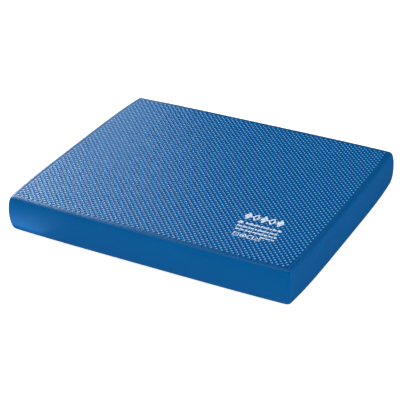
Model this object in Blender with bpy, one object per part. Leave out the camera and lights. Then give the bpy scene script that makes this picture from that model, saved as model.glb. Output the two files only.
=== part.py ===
"""A balance pad: a soft foam block that a person stands on for balance exercises.

Two sheets of closed-cell foam are bonded back to back into one block. An embossed skin covers the top
and another the underside, and four smooth skins cover the bulging sides and meet at the corners. The
foam gives under a load: the top skin and the upper sheet then move straight down, and the sides follow.

Units are metres and +Z is up. The origin is at the middle of the underside, +X runs along the long
sides, and -Y faces the front.
"""

import math

import bmesh
import bpy
from mathutils import Vector

# The whole pad, over the widest line of its sides and over the tips of its embossing
LENGTH = 0.500
WIDTH = 0.410
THICKNESS = 0.060

# The sides bulge: their profile is half a superellipse
BULGE = 0.0063
BULGE_POWER = 2.5

# Seen from above, the sides bow out, most of all where they near the corners. The long sides do so
# only towards their top and bottom edges
END_BOW = 0.0048
LONG_SIDE_BOW = 0.00275
BOW_POWER = 4
CORNER_RADIUS = 0.006

# The layers, with a gap between pieces that touch
SKIN = 0.002
GAP = 0.0003

# Faces along half a corner and along a side, and rows of faces in the height of each kind of piece
HALF_CORNER_STEPS = 4
SIDE_STEPS = 16
SKIN_ROWS = 5
CORE_ROWS = 8
SIDE_ROWS = 16

MIDDLE = THICKNESS / 2
CORE_DEPTH = SKIN + GAP
FACINGS = {"right": 0, "back": 90, "left": 180, "front": 270}


def clear_scene():
    for obj in list(bpy.data.objects):
        bpy.data.objects.remove(obj, do_unlink=True)


def foam(name, colour, roughness):
    """A matt foam finish: a Principled material with one colour."""
    material = bpy.data.materials.new(name)
    material.use_nodes = True
    shader = material.node_tree.nodes["Principled BSDF"]
    shader.inputs["Base Color"].default_value = (*colour, 1.0)
    shader.inputs["Roughness"].default_value = roughness
    shader.inputs["Metallic"].default_value = 0.0
    return material


def inset_at(height):
    """How far the surface of a side lies inside its widest line, at this height above the floor."""
    share = min(abs(height / MIDDLE - 1), 1)
    return BULGE * (1 - (1 - share**BULGE_POWER) ** (1 / BULGE_POWER))


def heights_between(low, high, rows):
    """Heights from low to high, closer together towards the pad's edges, where the profile turns."""
    first = math.acos(1 - low / MIDDLE)
    last = math.acos(max(1 - high / MIDDLE, -1))
    return [MIDDLE * (1 - math.cos(first + (last - first) * i / rows)) for i in range(rows + 1)]


def side_line(side, height, depth, gap=0):
    """The points of one side at this height and this deep inside its surface, from the middle of one
    corner to the middle of the next, with half this gap left at either end."""
    facing = math.radians(FACINGS[side])
    normal = Vector((math.cos(facing), math.sin(facing)))
    along = Vector((-normal.y, normal.x))
    long_side_bow = LONG_SIDE_BOW * (height / MIDDLE - 1) ** 2
    ahead, aside = (LENGTH / 2, END_BOW), (WIDTH / 2, long_side_bow)
    if side in ("front", "back"):
        ahead, aside = aside, ahead
    inset = inset_at(height)
    reach, bow = ahead
    centre_ahead = reach - bow - inset - CORNER_RADIUS
    centre_aside = aside[0] - aside[1] - inset - CORNER_RADIUS

    def corner_point(end, degrees):
        turn = end * math.radians(degrees)
        outward = normal * math.cos(turn) + along * math.sin(turn)
        centre = normal * centre_ahead + along * end * centre_aside
        return centre + outward * (CORNER_RADIUS - depth)

    turns = [45 * i / HALF_CORNER_STEPS for i in range(HALF_CORNER_STEPS + 1)]
    points = [corner_point(-1, degrees) for degrees in reversed(turns)]
    for i in range(1, SIDE_STEPS):
        share = 2 * i / SIDE_STEPS - 1
        ahead_here = reach - inset - depth - bow * abs(share) ** BOW_POWER
        points.append(normal * ahead_here + along * share * centre_aside)
    points += [corner_point(1, degrees) for degrees in turns]
    for point, neighbour in ((points[0], points[1]), (points[-1], points[-2])):
        point += (neighbour - point).normalized() * gap / 2
    return points


def outline(height, depth):
    """The pad's whole outline at this height, this deep inside its surface."""
    return [point for side in FACINGS for point in side_line(side, height, depth)[:-1]]


def add_stack(name, loops, caps, material, parent, collection):
    """A closed piece from closed loops of points stacked from the lowest to the highest. caps are the
    faces that close the lowest and the highest loop, as places in the loop."""
    low = loops[0][0].z
    bm = bmesh.new()
    rows = [[bm.verts.new(point - Vector((0, 0, low))) for point in loop] for loop in loops]
    for below, above in zip(rows, rows[1:]):
        for i in range(len(below)):
            bm.faces.new((below[i - 1], below[i], above[i], above[i - 1]))
    for cap in caps:
        bm.faces.new([rows[0][i] for i in cap])
        bm.faces.new([rows[-1][i] for i in cap])
    bmesh.ops.recalc_face_normals(bm, faces=bm.faces)
    mesh = bpy.data.meshes.new(name)
    bm.to_mesh(mesh)
    bm.free()
    mesh.materials.append(material)
    mesh.shade_smooth()
    mesh.set_sharp_from_angle(angle=math.radians(40))
    piece = bpy.data.objects.new(name, mesh)
    collection.objects.link(piece)
    piece.parent = parent
    piece.location = Vector((0, 0, low)) - parent.location


def add_sheet(name, low, high, rows, depth, material, parent, collection):
    """A sheet from height low to height high, whose rim follows the pad's sides this deep inside them."""
    heights = heights_between(low, high, rows)
    loops = [[point.to_3d() + Vector((0, 0, z)) for point in outline(z, depth)] for z in heights]
    add_stack(name, loops, [range(len(loops[0]))], material, parent, collection)


def add_side_skin(side, low, high, material, parent, collection):
    """The skin of one side, from mitre to mitre."""
    loops = []
    for z in heights_between(low, high, SIDE_ROWS):
        outer = side_line(side, z, 0, GAP)
        inner = side_line(side, z, SKIN, GAP)
        loops.append([point.to_3d() + Vector((0, 0, z)) for point in outer + inner[::-1]])
    last = len(loops[0]) - 1
    strip = [(i, i + 1, last - i - 1, last - i) for i in range(last // 2)]
    add_stack(f"{side}_side_skin", loops, strip, material, parent, collection)


def add_axis(name, height, collection):
    """An empty on the vertical axis that the pad is pressed down along."""
    empty = bpy.data.objects.new(name, None)
    collection.objects.link(empty)
    empty.location = (0, 0, height)
    return empty


def build():
    clear_scene()
    collection = bpy.data.collections.new("balance_pad")
    bpy.context.scene.collection.children.link(collection)
    embossed = foam("embossed_foam_skin", (0.012, 0.130, 0.400), 0.50)
    smooth = foam("smooth_foam_skin", (0.005, 0.100, 0.340), 0.40)
    cellular = foam("cellular_foam", (0.020, 0.150, 0.420), 0.85)
    base = add_axis("base", 0, collection)
    top = add_axis("top", THICKNESS, collection)

    skin_top = THICKNESS - SKIN
    add_sheet("bottom_skin", 0, SKIN, SKIN_ROWS, 0, embossed, base, collection)
    add_sheet("top_skin", skin_top, THICKNESS, SKIN_ROWS, 0, embossed, top, collection)

    core_low = CORE_DEPTH
    core_high = THICKNESS - CORE_DEPTH
    joint_low = MIDDLE - GAP / 2
    joint_high = MIDDLE + GAP / 2
    add_sheet("lower_core", core_low, joint_low, CORE_ROWS, CORE_DEPTH, cellular, base, collection)
    add_sheet("upper_core", joint_high, core_high, CORE_ROWS, CORE_DEPTH, cellular, top, collection)

    for side in FACINGS:
        add_side_skin(side, core_low, core_high, smooth, base, collection)


build()
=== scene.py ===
import math
import random

import bmesh
import bpy
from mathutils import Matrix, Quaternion, Vector, noise
from mathutils.bvhtree import BVHTree


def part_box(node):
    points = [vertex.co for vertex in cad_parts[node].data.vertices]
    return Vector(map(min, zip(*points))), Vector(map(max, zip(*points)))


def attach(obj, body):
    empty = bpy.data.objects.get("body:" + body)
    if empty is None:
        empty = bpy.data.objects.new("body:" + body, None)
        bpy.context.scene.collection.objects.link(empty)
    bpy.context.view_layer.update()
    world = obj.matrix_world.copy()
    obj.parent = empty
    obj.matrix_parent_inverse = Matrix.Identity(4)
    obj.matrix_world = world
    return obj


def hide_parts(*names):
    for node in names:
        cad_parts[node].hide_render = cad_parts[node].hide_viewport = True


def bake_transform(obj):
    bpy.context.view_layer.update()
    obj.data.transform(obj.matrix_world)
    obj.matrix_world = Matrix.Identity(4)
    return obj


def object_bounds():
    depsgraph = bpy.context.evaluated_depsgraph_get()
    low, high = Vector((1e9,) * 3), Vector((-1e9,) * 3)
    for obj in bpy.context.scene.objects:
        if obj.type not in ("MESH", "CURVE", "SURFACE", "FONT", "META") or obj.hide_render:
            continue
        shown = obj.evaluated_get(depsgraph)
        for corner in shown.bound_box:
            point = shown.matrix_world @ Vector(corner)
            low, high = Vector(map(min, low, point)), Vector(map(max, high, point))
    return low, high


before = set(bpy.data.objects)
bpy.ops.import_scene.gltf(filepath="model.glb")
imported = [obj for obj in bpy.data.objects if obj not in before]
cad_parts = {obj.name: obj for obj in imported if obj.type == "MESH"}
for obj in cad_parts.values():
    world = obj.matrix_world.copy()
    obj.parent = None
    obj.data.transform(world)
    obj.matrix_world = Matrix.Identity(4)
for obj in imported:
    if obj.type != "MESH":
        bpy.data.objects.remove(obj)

CAD_LOW, CAD_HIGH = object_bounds()
MM = 0.001

# The pad's outline and side profile, as in the CAD model
HALF_LENGTH = CAD_HIGH.x
HALF_WIDTH = CAD_HIGH.y
THICKNESS = CAD_HIGH.z
MIDDLE = THICKNESS / 2
BULGE = 6.3 * MM
BULGE_POWER = 2.5
END_BOW = 4.8 * MM
LONG_SIDE_BOW = 2.75 * MM
BOW_POWER = 4
CORNER_RADIUS = 6 * MM
FACINGS = {"right": 0, "back": 90, "left": 180, "front": 270}

# The joint lines of the skins, and how deep the core lies
SKIN_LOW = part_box("front_side_skin")[0].z
SKIN_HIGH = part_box("front_side_skin")[1].z
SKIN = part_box("bottom_skin")[1].z
CORE_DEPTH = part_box("lower_core")[0].z

# The embossing: domes on every second crossing of a square grid
GRID = 1.5 * MM
DOME_EVERY = 3
DOME_COLUMNS = 106
DOME_ROWS = 86
DOME_HEIGHT = 0.8 * MM
DOME_RING = 1.8 * MM
DOME_RING_SHARE = 0.6
VALLEY = THICKNESS - DOME_HEIGHT

# The field that holds the domes, in cells of the grid
FIELD_MARGIN = 2
COLUMNS = (DOME_COLUMNS - 1) * DOME_EVERY + 2 * FIELD_MARGIN
ROWS = (DOME_ROWS - 1) * DOME_EVERY + 2 * FIELD_MARGIN
CORNER_CELLS = 4

# The plain border around the field: mm inside the widest line of the sides, and mm below the dome tips.
# It rises to a low rolled rim, and then turns down into the side
BORDER = (
    (9.8, 0.72),
    (8.7, 0.58),
    (7.5, 0.54),
    (6.3, 0.62),
    (5.3, 0.82),
    (4.6, 1.12),
    (4.0, 1.6),
)

# The embossing's colours change with the depth below the dome tips: a painted highlight on the tips and
# painted shade in the valleys. The plain border, which starts this far inside the widest line, keeps a
# colour near that of the sides
TIP_HIGHLIGHT_DEPTH = (0.08 * MM, 0.30 * MM)
VALLEY_SHADE_DEPTH = (0.42 * MM, 0.75 * MM)
BORDER_COLOUR_FROM = 14 * MM
BORDER_COLOUR_FULL = 12 * MM

# The print: the size of its cells, how far it floats over the foam, how thick it is, and where it lies
INK_CELL = 0.8 * MM
INK_LIFT = 0.10 * MM
INK_THICKNESS = 0.05 * MM
PRINT_LEFT = 117 * MM
PRINT_RIGHT = 187 * MM

# The camera, fitted to the outline in the photograph. The offsets move its aim off the pad's middle
CAMERA_AZIMUTH = 29.0
CAMERA_ELEVATION = 29.75
CAMERA_ROLL = -1.7
CAMERA_DISTANCE = 2.0853
CAMERA_LENS = 116.1
CAMERA_SENSOR = 36
AIM_LEFT = 0.00983
AIM_DOWN = 0.01679

# The lamps: name, place, aim, size and power in watts. The powers are fitted to the photograph. The two
# cards are small and near, and bring back the pale sheen that it shows at the back left and front left
SOFTBOXES = (
    ("left_softbox", (-2.4, 0.1, 1.5), (0, 0, 0), (2.6, 2.0), 34),
    ("back_softbox", (-1.5, 0.75, 0.75), (0, 0, 0), (0.8, 0.7), 15),
    ("low_softbox", (-1.0, 1.0, 0.55), (0, 0, 0), (0.5, 0.4), 1.4),
    ("corner_card", (-0.45, 0.49, 0.24), (-0.24, 0.19, 0.06), (0.16, 0.1), 0.08),
    ("low_card", (-0.23, -0.226, 0.004), (-0.23, -0.226, 1), (0.09, 0.035), 0.022),
    ("top_softbox", (0, 0, 2.3), (0, 0, 0), (2.4, 2.4), 14),
    ("front_softbox", (0, -3.4, 1.6), (0, 0, 0), (4.0, 2.6), 94),
    ("right_softbox", (3.2, 0.2, 1.3), (0, 0, 0), (3.0, 2.2), 86),
)
WORLD_STRENGTH = 0.015
FLOOR_GLOW = 0.65
FLOOR_REACH = 6
FLOOR_DROP = 0.2 * MM


# ---------------------------------------------------------------- helpers


def link(name, data):
    obj = bpy.data.objects.new(name, data)
    bpy.context.scene.collection.objects.link(obj)
    return obj


def add_piece(name, points, faces, material, sharp_degrees=40):
    """The faces as a smooth-shaded object with one material."""
    mesh = bpy.data.meshes.new(name)
    mesh.from_pydata(points, [], faces)
    bm = bmesh.new()
    bm.from_mesh(mesh)
    bmesh.ops.recalc_face_normals(bm, faces=bm.faces)
    bm.to_mesh(mesh)
    bm.free()
    mesh.materials.append(material)
    mesh.shade_smooth()
    mesh.set_sharp_from_angle(angle=math.radians(sharp_degrees))
    return link(name, mesh)


def stack(loops, caps):
    """(points, faces) of a closed piece from closed loops stacked on each other. caps are the faces that
    close the first and the last loop, as places in the loop."""
    size = len(loops[0])
    faces = []
    for row in range(len(loops) - 1):
        start = row * size
        for i in range(size):
            j = (i + 1) % size
            faces.append((start + i, start + j, start + size + j, start + size + i))
    last = (len(loops) - 1) * size
    for cap in caps:
        faces.append(tuple(cap))
        faces.append(tuple(last + i for i in cap))
    return [point for loop in loops for point in loop], faces


# ---------------------------------------------------------------- the pad's shape


def inset_at(height):
    """How far the surface of a side lies inside its widest line, at this height above the floor."""
    share = min(abs(height / MIDDLE - 1), 1)
    return BULGE * (1 - (1 - share**BULGE_POWER) ** (1 / BULGE_POWER))


def bows_at(height):
    """How far the ends and the long sides bow out between their corners, at this height."""
    return END_BOW, LONG_SIDE_BOW * (height / MIDDLE - 1) ** 2


def side_line(side, height, depth, corner_steps=8, steps=56):
    """The points of one side at this height and this deep inside its surface, from the middle of one
    corner to the middle of the next."""
    facing = math.radians(FACINGS[side])
    normal = Vector((math.cos(facing), math.sin(facing)))
    along = Vector((-normal.y, normal.x))
    end_bow, long_side_bow = bows_at(height)
    ahead, aside = (HALF_LENGTH, end_bow), (HALF_WIDTH, long_side_bow)
    if side in ("front", "back"):
        ahead, aside = aside, ahead
    inset = inset_at(height)
    centre_ahead = ahead[0] - ahead[1] - inset - CORNER_RADIUS
    centre_aside = aside[0] - aside[1] - inset - CORNER_RADIUS
    points = []
    for i in range(-corner_steps - steps // 2, corner_steps + steps // 2 + 1):
        beyond = max(abs(i) - steps // 2, 0)
        share = max(-1, min(1, 2 * i / steps))
        turn = math.copysign(math.radians(45) * beyond / corner_steps, i)
        outward = normal * math.cos(turn) + along * math.sin(turn)
        centre = normal * centre_ahead + along * share * centre_aside
        bulge = normal * ahead[1] * (1 - abs(share) ** BOW_POWER)
        points.append(centre + bulge + outward * (CORNER_RADIUS - depth))
    return points


def on_border(column, row, inward, height):
    """Where a crossing at the field's edge lies on the outline this far inside the widest lines."""
    x, y = field_point(column, row)
    end_bow, long_side_bow = bows_at(height)
    radius = CORNER_RADIUS - max(inward - BULGE, 0)
    centre_x = HALF_LENGTH - end_bow - inward - radius
    centre_y = HALF_WIDTH - long_side_bow - inward - radius
    from_end = min(column, COLUMNS - column)
    from_side = min(row, ROWS - row)
    if from_end + from_side <= CORNER_CELLS:
        turn = math.radians(45) * (1 + (from_end - from_side) / CORNER_CELLS)
        x = math.copysign(centre_x + radius * math.cos(turn), x)
        y = math.copysign(centre_y + radius * math.sin(turn), y)
        return x, y
    # the crossings next to the corner move towards it, to share out the distance that its arc leaves
    away = max(from_end, from_side) - CORNER_CELLS
    pull = max(1 - away / (2 * CORNER_CELLS), 0)
    if from_end == 0:
        y += math.copysign(pull * (centre_y - (ROWS / 2 - CORNER_CELLS) * GRID), y)
        reach = HALF_LENGTH - inward - end_bow * min(abs(y / centre_y), 1) ** BOW_POWER
        return math.copysign(reach, x), y
    x += math.copysign(pull * (centre_x - (COLUMNS / 2 - CORNER_CELLS) * GRID), x)
    reach = HALF_WIDTH - inward - long_side_bow * min(abs(x / centre_x), 1) ** BOW_POWER
    return x, math.copysign(reach, y)


# ---------------------------------------------------------------- materials


class Nodes:
    """Short calls for making a node material."""

    def __init__(self, name):
        self.material = bpy.data.materials.new(name)
        self.material.use_nodes = True
        self.tree = self.material.node_tree
        self.shader = self.tree.nodes["Principled BSDF"]

    def add(self, kind, **values):
        node = self.tree.nodes.new(kind)
        for key, value in values.items():
            if hasattr(node, key):
                setattr(node, key, value)
            else:
                node.inputs[key.replace("_", " ").title()].default_value = value
        return node

    def join(self, source, target):
        self.tree.links.new(source, target)

    def place(self):
        """Object coordinates, in metres, so the grain keeps its size and moves with the piece."""
        return self.add("ShaderNodeTexCoord").outputs["Object"]

    def noise(self, place, scale, detail=2.0, roughness=0.5):
        node = self.add("ShaderNodeTexNoise", scale=scale, detail=detail, roughness=roughness)
        self.join(place, node.inputs["Vector"])
        return node.outputs["Fac"]

    def cells(self, place, scale):
        node = self.add("ShaderNodeTexVoronoi", feature="F1", scale=scale)
        self.join(place, node.inputs["Vector"])
        return node.outputs["Distance"]

    def remap(self, value, low, high, to_low, to_high):
        node = self.add("ShaderNodeMapRange")
        self.join(value, node.inputs["Value"])
        node.inputs["From Min"].default_value = low
        node.inputs["From Max"].default_value = high
        node.inputs["To Min"].default_value = to_low
        node.inputs["To Max"].default_value = to_high
        return node.outputs["Result"]

    def mix(self, factor, a, b):
        """Two colours, each a tuple or a socket, mixed by a factor."""
        node = self.add("ShaderNodeMix", data_type="RGBA", blend_type="MIX")
        ends = (node.inputs[0], factor), (node.inputs[6], a), (node.inputs[7], b)
        for socket, value in ends:
            if isinstance(value, bpy.types.NodeSocket):
                self.join(value, socket)
            elif isinstance(value, tuple):
                socket.default_value = (*value, 1.0)
            else:
                socket.default_value = value
        return node.outputs[2]

    def bump(self, height, distance, strength, under=None):
        node = self.add("ShaderNodeBump")
        node.inputs["Distance"].default_value = distance
        node.inputs["Strength"].default_value = strength
        self.join(height, node.inputs["Height"])
        if under is not None:
            self.join(under, node.inputs["Normal"])
        return node.outputs["Normal"]

    def math(self, operation, a, b=0.0):
        """One sum of two values, each a number or a socket."""
        node = self.add("ShaderNodeMath", operation=operation)
        for socket, value in zip(node.inputs, (a, b)):
            if isinstance(value, bpy.types.NodeSocket):
                self.join(value, socket)
            else:
                socket.default_value = value
        return node.outputs["Value"]

    def split(self, place):
        node = self.add("ShaderNodeSeparateXYZ")
        self.join(place, node.inputs["Vector"])
        return node.outputs["X"], node.outputs["Y"], node.outputs["Z"]

    def finish(self, colour, roughness, normal, specular, tint=(1, 1, 1)):
        self.join(colour, self.shader.inputs["Base Color"])
        self.join(roughness, self.shader.inputs["Roughness"])
        self.join(normal, self.shader.inputs["Normal"])
        self.shader.inputs["Specular IOR Level"].default_value = specular
        self.shader.inputs["Specular Tint"].default_value = (*tint, 1)
        return self.material


def embossed_foam():
    """Closed-cell foam with a moulded skin: fine grain, painted shade between the domes, a painted
    highlight on their tips.
    """
    n = Nodes("embossed_foam_skin")
    place = n.place()
    mottle = n.noise(place, 28, 4)
    grain = n.noise(place, 2600, 3, 0.6)
    pores = n.cells(place, 1500)
    colour = n.mix(mottle, (0.0004, 0.124, 0.400), (0.0008, 0.142, 0.455))
    # how far below the dome tips, on either face, and whether the place is inside the border
    x, y, z = n.split(place)
    depth = n.math("SUBTRACT", MIDDLE, n.math("ABSOLUTE", n.math("SUBTRACT", z, MIDDLE)))
    beyond = n.math("SUBTRACT", n.math("ABSOLUTE", x), HALF_LENGTH - HALF_WIDTH)
    reach = n.math("MAXIMUM", beyond, n.math("ABSOLUTE", y))
    field_end, border_start = HALF_WIDTH - BORDER_COLOUR_FROM, HALF_WIDTH - BORDER_COLOUR_FULL
    inside = n.remap(reach, field_end, border_start, 1.0, 0.0)
    colour = n.mix(inside, (0.0004, 0.080, 0.252), colour)
    # painted shade: the valleys between the domes are darkened, where shade falls among them
    painted_valley_shade = n.math("MULTIPLY", n.remap(depth, *VALLEY_SHADE_DEPTH, 0.0, 1.0), inside)
    # painted highlight: the dome tips are made pale, standing in for the lamps' glints on them
    painted_tip_highlight = n.remap(depth, *TIP_HIGHLIGHT_DEPTH, 1.0, 0.0)
    colour = n.mix(painted_valley_shade, colour, (0.0001, 0.044, 0.210))
    colour = n.mix(painted_tip_highlight, colour, (0.260, 0.880, 1.000))
    colour = n.mix(n.remap(pores, 0.0, 0.25, 0.22, 0.0), colour, (0.0003, 0.040, 0.140))
    roughness = n.remap(grain, 0.3, 0.7, 0.30, 0.40)
    normal = n.bump(grain, 0.00006, 0.7)
    return n.finish(colour, roughness, normal, 0.5, (0.4, 0.75, 1.0))


def smooth_foam():
    """The pad's sides: the same foam sealed smooth, with faint pores and a soft unevenness."""
    n = Nodes("smooth_foam_skin")
    place = n.place()
    mottle = n.noise(place, 14, 4)
    grain = n.noise(place, 1700, 3, 0.6)
    pores = n.cells(place, 900)
    colour = n.mix(mottle, (0.0003, 0.068, 0.218), (0.0006, 0.080, 0.250))
    colour = n.mix(n.remap(pores, 0.0, 0.18, 0.35, 0.0), colour, (0.0003, 0.050, 0.180))
    roughness = n.remap(n.noise(place, 60, 3), 0.3, 0.7, 0.40, 0.48)
    normal = n.bump(grain, 0.00005, 0.5)
    normal = n.bump(n.noise(place, 45, 2), 0.0006, 0.25, under=normal)
    return n.finish(colour, roughness, normal, 0.1, (0.1, 0.6, 1.0))


def cellular_foam():
    """The inside of the foam: cut cells of about a millimetre."""
    n = Nodes("cellular_foam")
    place = n.place()
    walls = n.cells(place, 1100)
    mottle = n.noise(place, 35, 3)
    colour = n.mix(mottle, (0.002, 0.120, 0.360), (0.004, 0.145, 0.410))
    colour = n.mix(n.remap(walls, 0.05, 0.5, 0.7, 0.0), colour, (0.001, 0.060, 0.210))
    roughness = n.remap(walls, 0.0, 0.6, 0.95, 0.75)
    normal = n.bump(walls, 0.0004, 0.8)
    return n.finish(colour, roughness, normal, 0.2)


def print_ink():
    """Matt white ink, thin enough for the blue to show through in places, with painted shade where it
    dips between the domes.
    """
    n = Nodes("print_ink")
    place = n.place()
    speckle = n.noise(place, 1200, 4, 0.7)
    wear = n.noise(place, 240, 3)
    thin = n.remap(speckle, 0.38, 0.62, 0.25, 0.0)
    colour = n.mix(thin, (0.84, 0.89, 0.95), (0.36, 0.52, 0.72))
    colour = n.mix(n.remap(wear, 0.55, 0.75, 0.0, 0.35), colour, (0.35, 0.50, 0.70))
    # painted shade: the ink darkens with its depth below the top, where shade falls between the domes
    depth = n.math("SUBTRACT", THICKNESS + INK_LIFT, n.split(place)[2])
    colour = n.mix(n.remap(depth, 0.35 * MM, 0.8 * MM, 0.0, 0.5), colour, (0.10, 0.26, 0.50))
    roughness = n.remap(speckle, 0.3, 0.7, 0.50, 0.62)
    normal = n.bump(speckle, 0.00005, 0.5)
    return n.finish(colour, roughness, normal, 0.4)


def studio_floor():
    """A pale floor that glows a little, so that the ground comes out white as in the photograph."""
    n = Nodes("studio_floor")
    place = n.place()
    colour = n.mix(n.noise(place, 3, 2), (0.84, 0.84, 0.84), (0.86, 0.86, 0.86))
    roughness = n.remap(n.noise(place, 12, 2), 0.3, 0.7, 0.80, 0.90)
    normal = n.bump(n.noise(place, 500, 2), 0.00005, 0.2)
    n.shader.inputs["Emission Color"].default_value = (1, 1, 1, 1)
    n.shader.inputs["Emission Strength"].default_value = FLOOR_GLOW
    return n.finish(colour, roughness, normal, 0.1)


# ---------------------------------------------------------------- the embossed skins


def field_point(column, row):
    """A crossing of the embossed field's grid, drawn in towards the corners as the sides are."""
    x = (column - COLUMNS / 2) * GRID
    y = (row - ROWS / 2) * GRID
    end_share = END_BOW / (COLUMNS / 2 * GRID)
    side_share = LONG_SIDE_BOW / (ROWS / 2 * GRID)
    drawn_x = x * (1 - end_share * abs(2 * row / ROWS - 1) ** BOW_POWER)
    drawn_y = y * (1 - side_share * abs(2 * column / COLUMNS - 1) ** BOW_POWER)
    return drawn_x, drawn_y


def embossed_point(column, row):
    """A crossing of the field's grid, raised where it is on a dome."""
    x, y = field_point(column, row)
    near_column = round((column - FIELD_MARGIN) / DOME_EVERY)
    near_row = round((row - FIELD_MARGIN) / DOME_EVERY)
    inside = 0 <= near_column < DOME_COLUMNS and 0 <= near_row < DOME_ROWS
    if not inside or (near_column + near_row) % 2:
        return x, y, VALLEY
    east = column - FIELD_MARGIN - near_column * DOME_EVERY
    north = row - FIELD_MARGIN - near_row * DOME_EVERY
    if east == 0 and north == 0:
        return x, y, THICKNESS
    share = DOME_RING / math.hypot(east, north)
    x += east * (share - GRID)
    y += north * (share - GRID)
    return x, y, VALLEY + DOME_HEIGHT * DOME_RING_SHARE


def embossed_skin(name, material, underside=False):
    """One embossed face of the pad, as a closed skin: the field of domes and the plain border."""
    points = [embossed_point(c, r) for r in range(ROWS + 1) for c in range(COLUMNS + 1)]
    faces = []
    for row in range(ROWS):
        for column in range(COLUMNS):
            a = row * (COLUMNS + 1) + column
            b, c, d = a + 1, a + COLUMNS + 2, a + COLUMNS + 1
            # a cell between two domes folds along its valley, so that no ridge joins the domes
            if points[a][2] + points[c][2] > points[b][2] + points[d][2]:
                faces += [(a, b, d), (b, c, d)]
            else:
                faces += [(a, b, c), (a, c, d)]
    rim = [(c, 0) for c in range(COLUMNS)] + [(COLUMNS, r) for r in range(ROWS)]
    rim += [(COLUMNS - c, ROWS) for c in range(COLUMNS)] + [(0, ROWS - r) for r in range(ROWS)]
    ring = [r * (COLUMNS + 1) + c for c, r in rim]
    steps = [(inward * MM, THICKNESS - drop * MM) for inward, drop in BORDER]
    steps.append((inset_at(SKIN_HIGH), SKIN_HIGH))
    for inward, height in steps:
        outer = range(len(points), len(points) + len(rim))
        points += [(*on_border(c, r, inward, height), height) for c, r in rim]
        for i in range(len(rim)):
            faces.append((ring[i - 1], ring[i], outer[i], outer[i - 1]))
        ring = outer
    faces.append(tuple(ring))
    if underside:
        points = [(x, y, THICKNESS - z) for x, y, z in points]
    return add_piece(name, points, faces, material, 60)


# ---------------------------------------------------------------- the side skins


def side_skin(side, material):
    """The smooth skin of one side, from mitre to mitre, as a closed sheet with soft unevenness. Its rims
    turn in a little, which leaves a hairline at the joints."""
    rows = 26
    turned_in = 0.2 * MM
    wave = 0.12 * MM
    wave_scale = 22
    first = math.acos(1 - SKIN_LOW / MIDDLE)
    last = math.acos(1 - SKIN_HIGH / MIDDLE)
    loops = []
    for row in range(rows + 1):
        height = MIDDLE * (1 - math.cos(first + (last - first) * row / rows))
        depth = turned_in if row in (0, rows) else 0
        outer = [point.to_3d() for point in side_line(side, height, depth)]
        inner = [point.to_3d() for point in side_line(side, height, SKIN)]
        for point in outer[1:-1]:
            outward = Vector((point.x / HALF_LENGTH, point.y / HALF_WIDTH, 0)).normalized()
            point += outward * wave * noise.noise((point + Vector((0, 0, height))) * wave_scale)
        for points in (outer, inner):
            points[0] += (points[1] - points[0]).normalized() * turned_in
            points[-1] += (points[-2] - points[-1]).normalized() * turned_in
        loop = outer + inner[::-1]
        for point in loop:
            point.z = height
        loops.append(loop)
    end = len(loops[0]) - 1
    strip = [(i, i + 1, end - i - 1, end - i) for i in range(end // 2)]
    return add_piece(f"{side}_side", *stack(loops, strip), material, 50)


# ---------------------------------------------------------------- the foam sheets


def foam_sheet(name, low, high, material):
    """One sheet of the foam core, with its cut rim just behind the skins."""
    rows = 12
    loops = []
    for row in range(rows + 1):
        height = low + (high - low) * row / rows
        loop = []
        for side in FACINGS:
            loop += [point.to_3d() for point in side_line(side, height, CORE_DEPTH, 4)[:-1]]
        for point in loop:
            point.z = height
        loops.append(loop)
    return add_piece(name, *stack(loops, [range(len(loops[0]))]), material)


# ---------------------------------------------------------------- the print


def ink_grid(bm, left, bottom, width, height):
    """A flat patch of ink in small cells, so that it can follow the domes."""
    columns = max(1, round(width / INK_CELL))
    rows = max(1, round(height / INK_CELL))
    made = bmesh.ops.create_grid(bm, x_segments=columns, y_segments=rows, size=0.5)["verts"]
    bmesh.ops.scale(bm, vec=(width, height, 1), verts=made)
    bmesh.ops.translate(bm, vec=(left + width / 2, bottom + height / 2, 0), verts=made)


def ink_ring(bm, x, y, outer, inner, segments=36):
    """A flat ring of ink, or a disc where inner is 0."""
    steps = max(1, round((outer - inner) / INK_CELL))
    radii = [inner + (outer - inner) * i / steps for i in range(steps + 1)]
    loops = []
    for radius in radii:
        if radius == 0:
            loops.append([bm.verts.new((x, y, 0))] * segments)
            continue
        turn = 2 * math.pi / segments
        loops.append(
            [
                bm.verts.new((x + radius * math.cos(i * turn), y + radius * math.sin(i * turn), 0))
                for i in range(segments)
            ]
        )
    for a, b in zip(loops, loops[1:]):
        for i in range(segments):
            j = (i + 1) % segments
            corners = [a[i], b[i], b[j], a[j]]
            bm.faces.new(list(dict.fromkeys(corners)))


def ink_lozenge(bm, x, y, half_width, half_height, hollow):
    """A flat lozenge of ink, with this share of it left open in the middle."""
    steps = max(1, round(half_height * (1 - hollow) / INK_CELL))
    sides = max(1, round(half_height * 1.2 / INK_CELL))
    outline = []
    corners = [(1, 0), (0, 1), (-1, 0), (0, -1)]
    for (ax, ay), (bx, by) in zip(corners, corners[1:] + corners[:1]):
        for i in range(sides):
            share = i / sides
            outline.append((ax + (bx - ax) * share, ay + (by - ay) * share))
    loops = []
    for step in range(steps + 1):
        scale = hollow + (1 - hollow) * step / steps
        if scale == 0:
            loops.append([bm.verts.new((x, y, 0))] * len(outline))
            continue
        loops.append(
            [
                bm.verts.new((x + u * half_width * scale, y + v * half_height * scale, 0))
                for u, v in outline
            ]
        )
    for a, b in zip(loops, loops[1:]):
        for i in range(len(outline)):
            j = (i + 1) % len(outline)
            bm.faces.new(list(dict.fromkeys([a[i], b[i], b[j], a[j]])))


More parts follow.
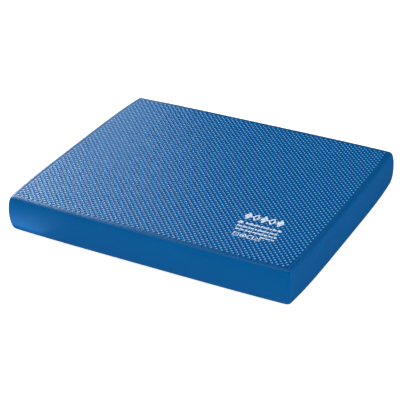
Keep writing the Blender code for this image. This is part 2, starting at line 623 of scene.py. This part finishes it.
def printed_marks(name, skin, material):
    """A generic print near the front right corner: lozenges, dashes and small plain signs. It stands for
    the photograph's print, and holds no lettering."""
    draw = random.Random(7)
    bm = bmesh.new()
    left, right = PRINT_LEFT, PRINT_RIGHT
    # the large row: solid and hollow lozenges in turn
    tall = 21 * MM
    x, y = left - 2 * MM, -98 * MM
    for solid in (True, False, True, False, True):
        ink_lozenge(bm, x + 6.7 * MM, y + tall / 2, 6.5 * MM, tall / 2, 0 if solid else 0.5)
        x += 13.2 * MM
    # a small solid sign with a row of dashes beside it, then two full rows and a short one
    ink_grid(bm, left - 2 * MM, -111.5 * MM, 7.5 * MM, 6.5 * MM)
    rows = (
        (left + 10 * MM, right, -110.5 * MM, 4.4 * MM),
        (left, right, -120.5 * MM, 4.0 * MM),
        (left + 2 * MM, right, -129.5 * MM, 4.0 * MM),
        (left + 47 * MM, right, -137.5 * MM, 3.4 * MM),
    )
    for start, end, bottom, height in rows:
        x = start
        while x < end - 3 * MM:
            width = min(draw.uniform(2.5, 9.0) * MM, end - x)
            ink_grid(bm, x, bottom, width, height)
            x += width + draw.uniform(1.0, 1.8) * MM
    # the small signs: a ring, a ring around a disc, a square frame and a thick ring
    y = -141.5 * MM
    start = left + 5 * MM
    ink_ring(bm, start + 5 * MM, y, 5.2 * MM, 3.4 * MM)
    ink_ring(bm, start + 17 * MM, y, 5.2 * MM, 3.4 * MM)
    ink_ring(bm, start + 17 * MM, y, 2.0 * MM, 0)
    for edge_x, edge_y, wide, high in (
        (24, -5, 10, 1.7),
        (24, 3.3, 10, 1.7),
        (24, -3.3, 1.7, 6.6),
        (32.3, -3.3, 1.7, 6.6),
    ):
        ink_grid(bm, start + edge_x * MM, y + edge_y * MM, wide * MM, high * MM)
    ink_ring(bm, start + 41 * MM, y - 1 * MM, 5.2 * MM, 1.8 * MM)
    # the ink follows the domes that it lies on
    tree = BVHTree.FromPolygons(
        [v.co for v in skin.data.vertices], [tuple(p.vertices) for p in skin.data.polygons]
    )
    for vert in bm.verts:
        above = Vector((vert.co.x, vert.co.y, 2 * THICKNESS))
        hit = tree.ray_cast(above, Vector((0, 0, -1)))[0]
        vert.co.z = hit.z + INK_LIFT
    bmesh.ops.solidify(bm, geom=bm.faces[:], thickness=INK_THICKNESS)
    bm.verts.index_update()
    points = [tuple(v.co) for v in bm.verts]
    faces = [tuple(v.index for v in f.verts) for f in bm.faces]
    bm.free()
    return add_piece(name, points, faces, material)


# ---------------------------------------------------------------- stage


def add_floor():
    """The floor is left out of reflections, or it would turn the lower sides pale."""
    reach = FLOOR_REACH
    corners = [(-reach, -reach, 0), (reach, -reach, 0), (reach, reach, 0), (-reach, reach, 0)]
    floor = add_piece("studio_floor", corners, [(0, 1, 2, 3)], studio_floor())
    floor.location.z = -FLOOR_DROP
    floor.visible_glossy = False


def add_softbox(name, place, aim, size, power):
    """A soft white lamp, which the camera doesn't see."""
    light = bpy.data.lights.new(name, "AREA")
    light.shape = "RECTANGLE"
    light.size, light.size_y = size
    light.energy = power
    lamp = link(name, light)
    lamp.visible_camera = False
    lamp.location = place
    lamp.rotation_mode = "QUATERNION"
    lamp.rotation_quaternion = (Vector(aim) - Vector(place)).to_track_quat("-Z", "Y")


def add_world():
    world = bpy.data.worlds.new("studio")
    world.use_nodes = True
    background = world.node_tree.nodes["Background"]
    background.inputs["Color"].default_value = (1, 1, 1, 1)
    background.inputs["Strength"].default_value = WORLD_STRENGTH
    bpy.context.scene.world = world


def add_camera():
    """A long lens from the front right, at the photograph's viewing angle."""
    azimuth = math.radians(CAMERA_AZIMUTH)
    elevation = math.radians(CAMERA_ELEVATION)
    roll = math.radians(CAMERA_ROLL)
    back = Vector(
        (
            math.sin(azimuth) * math.cos(elevation),
            -math.cos(azimuth) * math.cos(elevation),
            math.sin(elevation),
        )
    )
    right = Vector((math.cos(azimuth), math.sin(azimuth), 0))
    up = back.cross(right)
    centre = Vector((0, 0, MIDDLE))
    aim = centre - right * AIM_LEFT - up * AIM_DOWN
    data = bpy.data.cameras.new("camera")
    data.lens = CAMERA_LENS
    data.sensor_width = CAMERA_SENSOR
    camera = link("camera", data)
    camera.location = centre + back * CAMERA_DISTANCE
    camera.rotation_mode = "QUATERNION"
    look = (aim - camera.location).to_track_quat("-Z", "Y")
    camera.rotation_quaternion = look @ Quaternion((0, 0, 1), roll)
    bpy.context.scene.camera = camera


def add_stage():
    add_floor()
    add_camera()
    add_world()
    for softbox in SOFTBOXES:
        add_softbox(*softbox)
    bpy.context.scene.view_settings.view_transform = "Standard"


# ---------------------------------------------------------------- assembly


def build():
    embossed = embossed_foam()
    smooth = smooth_foam()
    cellular = cellular_foam()

    top = embossed_skin("embossed_top", embossed)
    marks = printed_marks("printed_marks", top, print_ink())
    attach(top, "top")
    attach(marks, "top")
    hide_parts("top_skin")

    under = embossed_skin("embossed_underside", embossed, underside=True)
    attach(under, "base")
    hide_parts("bottom_skin")

    for side in FACINGS:
        skin = side_skin(side, smooth)
        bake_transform(skin)
        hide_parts(f"{side}_side_skin")

    for sheet in ("lower", "upper"):
        low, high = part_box(f"{sheet}_core")
        foam = foam_sheet(f"{sheet}_foam", low.z, high.z, cellular)
        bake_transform(foam)
        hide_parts(f"{sheet}_core")

    add_stage()


build()
